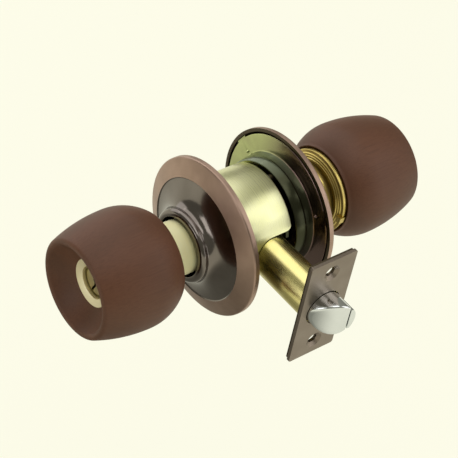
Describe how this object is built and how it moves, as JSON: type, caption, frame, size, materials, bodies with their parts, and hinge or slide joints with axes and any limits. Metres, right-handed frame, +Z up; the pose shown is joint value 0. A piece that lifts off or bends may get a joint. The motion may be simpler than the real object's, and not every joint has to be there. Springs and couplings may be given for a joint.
{
  "type": "door knob lock",
  "caption": "Bored door lock with two turned wooden knobs, pressed roses, a key cylinder and a side latch that the knob draws in",
  "frame": {"origin": "where the knobs' axis crosses the latch's axis, inside the chassis drum", "axes": "+X to the door's edge along the latch, +Y from the outside (key) knob to the inside knob, +Z up"},
  "size_m": [0.1092, 0.1786, 0.0748],
  "materials": {
    "knob_wood": "lacquered",
    "rose_copper": "satin copper plate",
    "bronze_plate": "dark bronze plate",
    "brass": "polished",
    "yellow_zinc": "yellow zinc plate",
    "latch_chrome": "satin chrome",
    "spring_steel": "plain"
  },
  "bodies": {
    "root": {"chassis_drum": "yellow_zinc", "chassis_bridges": "spring_steel", "outside_end_cap": "spring_steel", "inside_end_cap": "spring_steel", "outside_hub": "spring_steel", "inside_hub": "spring_steel", "outside_rose": "rose_copper", "outside_rose_liner": "spring_steel", "inside_rose": "rose_copper", "mounting_plate": "bronze_plate", "through_screws": "spring_steel", "latch_tube": "yellow_zinc", "latch_tube_cap": "spring_steel", "latch_backplate": "bronze_plate", "latch_faceplate": "rose_copper", "retractor_springs": "spring_steel", "latch_spring": "spring_steel", "plunger_spring": "spring_steel"},
    "outside_knob": {"outside_knob": "knob_wood", "outside_ferrule": "brass", "key_ring": "brass", "cylinder_body": "spring_steel", "driver_pins": "spring_steel", "pin_springs": "spring_steel", "outside_spindle": "spring_steel", "outside_catch_spring": "spring_steel"},
    "key_plug": {"key_plug": "brass", "key_pins": "brass", "plug_tail": "spring_steel"},
    "inside_knob": {"inside_knob": "knob_wood", "inside_ferrule": "brass", "button_ring": "brass", "inside_spindle": "spring_steel", "inside_catch_spring": "spring_steel"},
    "turn_button": {"turn_button": "brass", "lock_bar": "spring_steel"},
    "retractor": {"retractor": "spring_steel"},
    "latch_bolt": {"latch_bolt": "latch_chrome", "latch_tail": "spring_steel"},
    "deadlatch_plunger": {"deadlatch_plunger": "latch_chrome"},
    "outside_catch": {"outside_catch": "spring_steel"},
    "inside_catch": {"inside_catch": "spring_steel"}
  },
  "joints": [
    {"name": "outside_knob_turn", "type": "hinge", "parent": "root", "child": "outside_knob", "pos_m": [0, -0.018, 0], "axis": [0, 1, 0], "range_deg": [0, 65], "stiffness_Nm_per_rad": 0.3, "springref_deg": -17.19},
    {"name": "inside_knob_turn", "type": "hinge", "parent": "root", "child": "inside_knob", "pos_m": [0, 0.022, 0], "axis": [0, 1, 0], "range_deg": [-65, 65], "stiffness_Nm_per_rad": 0.3},
    {"name": "key_plug_turn", "type": "hinge", "parent": "outside_knob", "child": "key_plug", "pos_m": [0, -0.06, 0], "axis": [0, 1, 0], "range_deg": [-90, 90]},
    {"name": "turn_button_turn", "type": "hinge", "parent": "inside_knob", "child": "turn_button", "pos_m": [0, 0.07, 0], "axis": [0, 1, 0], "range_deg": [0, 90]},
    {"name": "retractor_slide", "type": "slide", "parent": "root", "child": "retractor", "axis": [-1, 0, 0], "range_m": [0, 0.0112], "deforming": ["retractor_springs"]},
    {"name": "latch_bolt_slide", "type": "slide", "parent": "root", "child": "latch_bolt", "axis": [-1, 0, 0], "range_m": [0, 0.0112], "deforming": ["latch_spring"]},
    {"name": "deadlatch_plunger_slide", "type": "slide", "parent": "root", "child": "deadlatch_plunger", "axis": [-1, 0, 0], "range_m": [0, 0.0105], "stiffness_N_per_m": 60, "springref_m": -0.01, "deforming": ["plunger_spring"]},
    {"name": "outside_catch_press", "type": "slide", "parent": "outside_knob", "child": "outside_catch", "axis": [1, 0, 0], "range_m": [0, 0.0023], "stiffness_N_per_m": 200, "springref_m": -0.003, "deforming": ["outside_catch_spring"]},
    {"name": "inside_catch_press", "type": "slide", "parent": "inside_knob", "child": "inside_catch", "axis": [1, 0, 0], "range_m": [0, 0.0023], "stiffness_N_per_m": 200, "springref_m": -0.003, "deforming": ["inside_catch_spring"]}
  ],
  "couplings": [
    {"joint": "retractor_slide", "follows": "outside_knob_turn", "m_per_rad": 0.00987},
    {"joint": "latch_bolt_slide", "follows": "outside_knob_turn", "m_per_rad": 0.00987}
  ]
}
